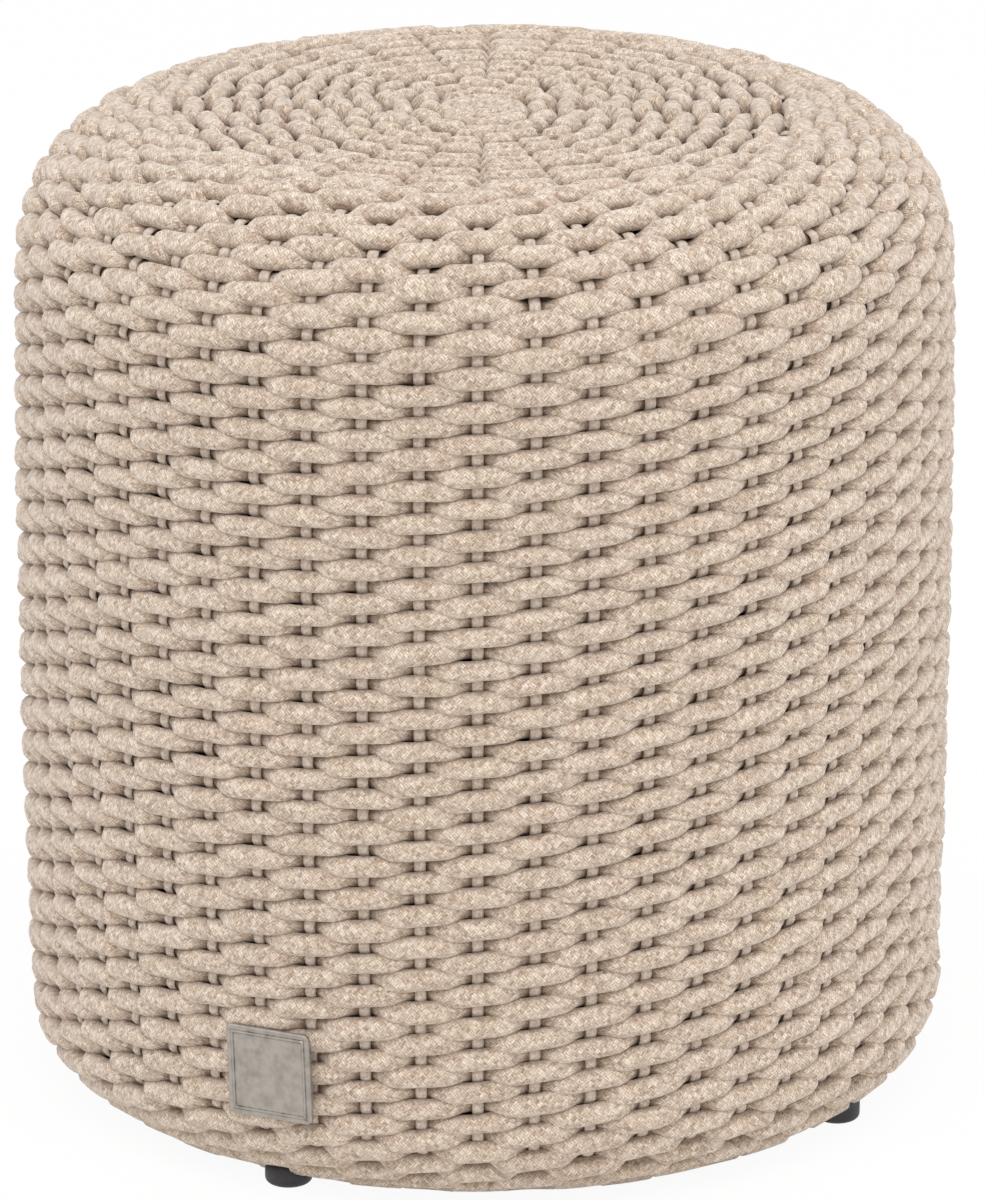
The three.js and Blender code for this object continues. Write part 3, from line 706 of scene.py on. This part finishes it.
def woven_rope(name, places, pitches, dives, first_course, warps, steps_per_warp, weave, loose, seed):
    """Courses of rope at places along the outline, in front of and behind the warps by turns. The
    rope's height is a share of the pitch, given from in front of a warp to behind the next, for its
    outer half and for its inner half, which spreads and fills the weave from behind."""
    chance = np.random.RandomState(seed)
    ring, turn, around = ring_template(warps * steps_per_warp, ROPE_SIDES)
    ring.attributes.new("painted_shade", "FLOAT", "POINT")
    warp_place = turn * warps / (2 * math.pi) % warps
    face_turn, face_around = face_places(ring, turn), face_places(ring, around)
    inner_half = np.clip(-2 * np.cos(around), 0, 1)
    # Painted shade on the rope's upper and lower flanks, in the creases between the turns
    painted_flank_shade = FLANK_SHADE_SHARE * np.clip(1 - np.abs(np.abs(around) - math.pi / 2) / FLANK_SHADE_WIDTH, 0, 1)
    bm = bmesh.new()
    for i, (place, pitch, depth, slack) in enumerate(zip(places, pitches, dives, loose)):
        phase = math.pi * (warp_place + first_course + i)
        off_warp = np.arccos(np.cos(phase)) / math.pi
        swell, stray, lift = (
            eased(chance.normal(0, tight + looser * slack, warps), warp_place) for tight, looser in UNEVEN.values())
        lean = 1 + eased(chance.normal(0, UNEVEN_LEAN, warps), warp_place)
        middle, out = outline.at(place), outline.outwards(place)
        up = np.array([-out[1], out[0]])
        shift = weave["slant"] * lean * np.sin(phase)
        front, back = (np.interp(off_warp, HEIGHT_PLACES, weave[half]) for half in ("front", "back"))
        half_height = pitch * (front + (back - front) * inner_half) * (1 + swell)
        dive = np.clip((off_warp - weave["plunge"][0]) / (weave["plunge"][1] - weave["plunge"][0]), 0, 1)
        dive = dive ** 2 * (3 - 2 * dive)
        fill = np.clip(-shift * np.sign(around), 0, None) + SAG * dive * (around < 0)
        outwards = -depth * dive + np.minimum(lift, MOST_LIFT) + ROPE_HALF_DEPTH * (np.cos(around) - 1)
        upwards = (half_height + fill) * np.sin(around) + shift + stray + row_rise(middle[1], out[0], turn)
        radius = middle[0] + out[0] * outwards + up[0] * upwards
        height = middle[1] + out[1] * outwards + up[1] * upwards
        ring.vertices.foreach_set("co", np.stack([radius * np.cos(turn), radius * np.sin(turn), height], -1).ravel())
        cells_along = 2 * max(1, round(math.pi * middle[0] / BRAID_CELL))
        along = face_turn / (2 * math.pi) * cells_along + CELLS_TO_NEXT_COURSE * (first_course + i)
        across = face_around / (2 * math.pi) * CELLS_AROUND
        ring.uv_layers[0].data.foreach_set("uv", np.stack([along, across], -1).ravel())
        # Painted shade: the colour darkens where the rope sinks behind a warp, and on its flanks
        deep = off_warp + TIP_SHARPNESS * np.sin(around) ** 2 - weave["dark"][0]
        painted_shade = np.clip(deep / (weave["dark"][1] - weave["dark"][0]), 0, 1) * depth / DIVE
        ring.attributes["painted_shade"].data.foreach_set("value", np.maximum(painted_shade, painted_flank_shade))
        bm.from_mesh(ring)
    piece = add_piece(name, bm)
    piece.data.materials.append(rope)
    return piece


def braided_olefin():
    """Solution-dyed olefin rope, braided from strands of light, middle and dark beige yarn: matt and
    a little hairy. Each strand of the braid is two yarns side by side, and the strands lean left and
    right by turns, in bits 2 mm long. The dye drifts very little from pinkish to yellowish, over
    30 mm. Painted shade darkens the grooves between the yarns, the creases between the rope's turns,
    and the rope where it sinks behind a warp."""
    material, tree = new_material("braided_olefin_rope")
    uv = add_node(tree, "ShaderNodeUVMap", uv_map="braid").outputs[0]
    strands = add_node(tree, "ShaderNodeMapping", {
        "Vector": uv, "Rotation": (0, 0, math.pi / 4), "Scale": (math.sqrt(2), math.sqrt(2), 1)}).outputs[0]
    cell = add_node(tree, "ShaderNodeVectorMath", {0: strands}, operation="FLOOR").outputs[0]
    within = add_node(tree, "ShaderNodeVectorMath", {0: strands}, operation="FRACTION").outputs[0]
    leans = add_node(tree, "ShaderNodeTexChecker", {"Vector": strands, "Scale": 1.0}).outputs["Fac"]
    parts = add_node(tree, "ShaderNodeSeparateXYZ", {0: within})
    swapped = add_node(tree, "ShaderNodeCombineXYZ", {0: parts.outputs[1], 1: parts.outputs[0]}).outputs[0]
    lying = add_node(tree, "ShaderNodeMix", {0: leans, 4: within, 5: swapped}, data_type="VECTOR").outputs[1]
    dye = add_node(tree, "ShaderNodeTexWhiteNoise", {"Vector": cell}, noise_dimensions="3D")
    apart = add_node(tree, "ShaderNodeVectorMath", {0: dye.outputs["Color"], 1: STREAKS_TO_NEXT_CELL},
                     operation="MULTIPLY").outputs[0]
    yarns = add_node(tree, "ShaderNodeVectorMath", {0: lying, 1: YARN_STREAKS, 2: apart},
                     operation="MULTIPLY_ADD").outputs[0]
    yarn = add_node(tree, "ShaderNodeTexNoise", {"Vector": yarns, "Scale": 1.0, "Detail": 2.0}).outputs["Fac"]
    tone = add_node(tree, "ShaderNodeMath", {0: dye.outputs["Value"], 1: DYE_SHARE, 2: yarn},
                    operation="MULTIPLY_ADD").outputs[0]
    colour = add_node(tree, "ShaderNodeValToRGB", {"Fac": tone}, stops=ROPE_COLOURS).outputs["Color"]
    pairs = add_node(tree, "ShaderNodeVectorMath", {0: lying, 1: YARNS_PER_STRAND}, operation="MULTIPLY").outputs[0]
    pairs = add_node(tree, "ShaderNodeVectorMath", {0: pairs}, operation="FRACTION").outputs[0]
    centred = add_node(tree, "ShaderNodeVectorMath", {0: pairs, 1: (2, 1.2, 0), 2: (-1, -0.6, 0)},
                       operation="MULTIPLY_ADD").outputs[0]
    edge = add_node(tree, "ShaderNodeVectorMath", {0: centred}, operation="LENGTH").outputs["Value"]
    dome = add_node(tree, "ShaderNodeMapRange", {
        "Value": edge, "From Min": 0.1, "From Max": 1.15, "To Min": 1.0, "To Max": 0.0},
        interpolation_type="SMOOTHSTEP").outputs[0]
    where = add_node(tree, "ShaderNodeTexCoord").outputs["Object"]
    drifting = add_node(tree, "ShaderNodeTexNoise", {
        "Vector": where, "Scale": DRIFTS_PER_METRE, "Detail": 2.0}).outputs["Fac"]
    # Painted shade where the rope sinks and in its creases, and in the grooves between the yarns, is multiplied in
    # below; the drift is the dye's own tone
    painted_shade = add_node(tree, "ShaderNodeAttribute", attribute_name="painted_shade").outputs["Fac"]
    for depth, tints in ((dome, GROOVE_SHADE_COLOURS), (drifting, DRIFT_COLOURS), (painted_shade, PAINTED_SHADE_COLOURS)):
        tint = add_node(tree, "ShaderNodeValToRGB", {"Fac": depth}, stops=tints).outputs["Color"]
        colour = add_node(tree, "ShaderNodeMix", {0: 1.0, 6: colour, 7: tint}, data_type="RGBA",
                          blend_type="MULTIPLY").outputs[2]
    relief = add_node(tree, "ShaderNodeMath", {0: yarn, 1: YARN_RELIEF, 2: dome}, operation="MULTIPLY_ADD").outputs[0]
    bump = add_node(tree, "ShaderNodeBump", {"Height": relief, "Strength": 0.5, "Distance": 0.0005}).outputs[0]
    shader = add_node(tree, "ShaderNodeBsdfPrincipled", {
        "Base Color": colour, "Roughness": 0.92, "Normal": bump, "Sheen Weight": 0.4,
        "Sheen Roughness": 0.5, "Specular IOR Level": 0.3})
    add_node(tree, "ShaderNodeOutputMaterial", {"Surface": shader.outputs[0]})
    return material


rope = braided_olefin()
side_pitches = np.gradient(side_places)
side_share = (side_places - outline.seam) / (outline.end - outline.seam)
side_dives = np.interp(side_places - outline.seam, SEAM_DIVE["from_seam"], SEAM_DIVE["dive"])
side_loose = np.interp(side_share, RIM_LOOSENESS["share"], RIM_LOOSENESS["loose"])
shoulder_count = int(np.sum(side_places < outline.side_start))
base_first = int(np.sum(side_places < outline.base_start))
lots = np.linspace(shoulder_count, base_first, SIDE_LOTS + 1).round().astype(int)
stretches = [("shoulder_rope", "shoulder_weave", 0, shoulder_count)]
stretches += [(f"side_rope_{lot + 1}", "side_weave", lots[lot], lots[lot + 1]) for lot in range(SIDE_LOTS)]
stretches += [("base_rope", "base_weave", base_first, len(side_places))]
for seed, (name, node, first, last) in enumerate(stretches, 1):
    piece = woven_rope(name, side_places[first:last], side_pitches[first:last], side_dives[first:last], first,
                       WARPS, STEPS_PER_WARP, SIDE_WEAVE, side_loose[first:last], seed)
    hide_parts(node)


# Top rope
# The same rope in rings round the centre of the top. Here the warps lie in pairs, so that there are
# half as many, fewer still near the centre, and the middle is a plain tight coil.
TOP_WEAVE = {
    "plunge": (0.36, 0.70), "dark": (0.50, 0.70), "slant": 0.0004,
    "front": (0.72, 0.71, 0.57, 0.40, 0.46, 0.54), "back": (0.60, 0.62, 0.75, 1.05, 1.15, 1.15)}
TOP_ZONES = (
    {"name": "top_rope_middle", "from": 0.0, "to": 0.020, "warps": 6, "steps": 10, "dive": 0.0004},
    {"name": "top_rope_inner", "from": 0.020, "to": 0.048, "warps": 12, "steps": 12, "dive": 0.0050},
    {"name": "top_rope_outer", "from": 0.048, "to": 0.2, "warps": 26, "steps": 12, "dive": 0.0088},
)
TOP_LOOSENESS = 0.35
TOP_SEED = 30

for seed, zone in enumerate(TOP_ZONES, TOP_SEED):
    inside = (top_places >= zone["from"]) & (top_places < zone["to"])
    first = int(np.argmax(inside))
    count = int(inside.sum())
    piece = woven_rope(zone["name"], top_places[inside], np.full(count, TOP_PITCH), np.full(count, zone["dive"]),
                       first, zone["warps"], zone["steps"], TOP_WEAVE, np.full(count, TOP_LOOSENESS), seed)
    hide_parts("top_weave")


# Label plate
# A small plate of cast zinc with a raised rim, low on the front, plated and rubbed back to an old
# pewter look. Its face is bare. Two studs at the back go through the weave into the front leg.
PLATE_WIDTH = 0.042
PLATE_HEIGHT = 0.042
PLATE_THICKNESS = 0.0020
PLATE_CORNER_RADIUS = 0.003
RIM_INSET = 0.0024
RIM_WIDTH = 0.0012
RIM_RISE = 0.0005
RIM_SLOPE = 0.0003
PLATE_EDGE_ROUND = 0.0004
PLATE_STEPS = 28
PLATE_SHIFT = 0.0015
PLATE_TURN = math.radians(-2.2)
STUD_RADIUS = 0.002
STUD_SPACING = 0.022
STUD_SIDES = 20
RUBBED_SHARE = 0.4
RUBBING = 0.35
PATINA_PATCHES_PER_METRE = 220.0
SKIN_GRAIN = 0.0010
PEWTER_COLOURS = [(0.35, "#5c5650"), (0.60, "#989189"), (0.95, "#b4ada5")]
PEWTER_ROUGHNESS = {"To Min": 0.42, "To Max": 0.60}

plate_low, plate_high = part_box("label_plate")
plate_front = plate_low.y + RIM_RISE
plate_centre = Vector(((plate_low.x + plate_high.x) / 2 + PLATE_SHIFT, plate_front, (plate_low.z + plate_high.z) / 2))


def old_pewter():
    """Cast zinc, plated and patinated: a soft warm grey metal, darker beside the rim where the patina
    stayed, lighter where it was rubbed back, in patches 4 to 5 mm wide. Its cast skin has a grain of
    a quarter of a millimetre, drawn at one so that it shows."""
    material, tree = new_material("patinated_cast_zinc")
    where = add_node(tree, "ShaderNodeTexCoord").outputs["Object"]
    centred = add_node(tree, "ShaderNodeVectorMath", {0: where, 1: plate_centre}, operation="SUBTRACT").outputs[0]
    upright = add_node(tree, "ShaderNodeVectorRotate", {"Vector": centred, "Angle": -PLATE_TURN},
                       rotation_type="Y_AXIS").outputs[0]
    size = add_node(tree, "ShaderNodeVectorMath", {0: upright}, operation="ABSOLUTE").outputs[0]
    parts = add_node(tree, "ShaderNodeSeparateXYZ", {0: size})
    over = add_node(tree, "ShaderNodeMath", {0: parts.outputs[0], 1: PLATE_WIDTH / 2}, operation="SUBTRACT").outputs[0]
    up = add_node(tree, "ShaderNodeMath", {0: parts.outputs[2], 1: PLATE_HEIGHT / 2}, operation="SUBTRACT").outputs[0]
    inset = add_node(tree, "ShaderNodeMath", {0: over, 1: up}, operation="MAXIMUM").outputs[0]
    rim_middle = add_node(tree, "ShaderNodeMath", {0: inset, 1: RIM_INSET + RIM_WIDTH / 2}, operation="ADD").outputs[0]
    from_rim = add_node(tree, "ShaderNodeMath", {0: rim_middle}, operation="ABSOLUTE").outputs[0]
    shade = add_node(tree, "ShaderNodeMapRange", {
        "Value": from_rim, "From Min": RIM_WIDTH / 2, "From Max": RIM_WIDTH, "To Min": 0.0, "To Max": 1.0}).outputs[0]
    rubbed = add_node(tree, "ShaderNodeMath", {0: from_rim, 1: RIM_WIDTH * RUBBED_SHARE},
                      operation="LESS_THAN").outputs[0]
    light = add_node(tree, "ShaderNodeMath", {0: shade, 1: rubbed}, operation="MAXIMUM").outputs[0]
    patina = add_node(tree, "ShaderNodeTexNoise", {
        "Vector": where, "Scale": PATINA_PATCHES_PER_METRE, "Detail": 5.0}).outputs["Fac"]
    worn = add_node(tree, "ShaderNodeMath", {0: light, 1: RUBBING, 2: patina}, operation="MULTIPLY_ADD").outputs[0]
    colour = add_node(tree, "ShaderNodeValToRGB", {"Fac": worn}, stops=PEWTER_COLOURS).outputs["Color"]
    skin = add_node(tree, "ShaderNodeTexNoise", {
        "Vector": where, "Scale": 1 / SKIN_GRAIN, "Detail": 2.0}).outputs["Fac"]
    bump = add_node(tree, "ShaderNodeBump", {"Height": skin, "Strength": 0.3, "Distance": 0.0001}).outputs[0]
    gloss = add_node(tree, "ShaderNodeMapRange", {"Value": patina} | PEWTER_ROUGHNESS).outputs[0]
    shader = add_node(tree, "ShaderNodeBsdfPrincipled", {
        "Base Color": colour, "Metallic": 0.85, "Roughness": gloss, "Normal": bump})
    add_node(tree, "ShaderNodeOutputMaterial", {"Surface": shader.outputs[0]})
    return material


bm = bmesh.new()
verts = [bm.verts.new((PLATE_CORNER_RADIUS - inset / 2, depth, 0)) for inset, depth in (
    (0, PLATE_THICKNESS),
    (0, PLATE_EDGE_ROUND),
    (PLATE_EDGE_ROUND, 0),
    (RIM_INSET, 0),
    (RIM_INSET + RIM_SLOPE, -RIM_RISE),
    (RIM_INSET + RIM_WIDTH - RIM_SLOPE, -RIM_RISE),
    (RIM_INSET + RIM_WIDTH, 0),
)]
edges = [bm.edges.new(pair) for pair in zip(verts, verts[1:])]
bmesh.ops.spin(bm, geom=verts + edges, cent=(0, 0, 0), axis=(0, 1, 0), angle=2 * math.pi, steps=PLATE_STEPS,
               use_merge=True, use_duplicate=False)
bmesh.ops.holes_fill(bm, edges=bm.edges[:], sides=PLATE_STEPS)
# The spun disc is turned by half a step, so that no vertex lies on an axis, and its quarters are
# moved out to the corners of the plate.
bmesh.ops.rotate(bm, verts=bm.verts[:], cent=(0, 0, 0), matrix=Matrix.Rotation(math.pi / PLATE_STEPS, 3, "Y"))
for vert in bm.verts:
    radius = math.hypot(vert.co.x, vert.co.z)
    inset = 2 * (PLATE_CORNER_RADIUS - radius)
    vert.co.x += math.copysign(PLATE_WIDTH / 2 - inset - radius, vert.co.x)
    vert.co.z += math.copysign(PLATE_HEIGHT / 2 - inset - radius, vert.co.z)
bmesh.ops.rotate(bm, verts=bm.verts[:], cent=(0, 0, 0), matrix=Matrix.Rotation(PLATE_TURN, 3, "Y"))
bmesh.ops.translate(bm, verts=bm.verts[:], vec=plate_centre)
stud_length = plate_high.y - plate_front - PLATE_THICKNESS / 2
for end in (-1, 1):
    middle = Vector((0, plate_high.y - stud_length / 2, plate_centre.z + end * STUD_SPACING / 2))
    bmesh.ops.create_cone(bm, cap_ends=True, cap_tris=False, segments=STUD_SIDES, radius1=STUD_RADIUS,
                          radius2=STUD_RADIUS, depth=stud_length,
                          matrix=Matrix.Translation(middle) @ Matrix.Rotation(math.pi / 2, 4, "X"))
bmesh.ops.recalc_face_normals(bm, faces=bm.faces[:])
piece = add_piece("label_plate_metal", bm, smooth=False)
piece.data.materials.append(old_pewter())
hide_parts("label_plate")
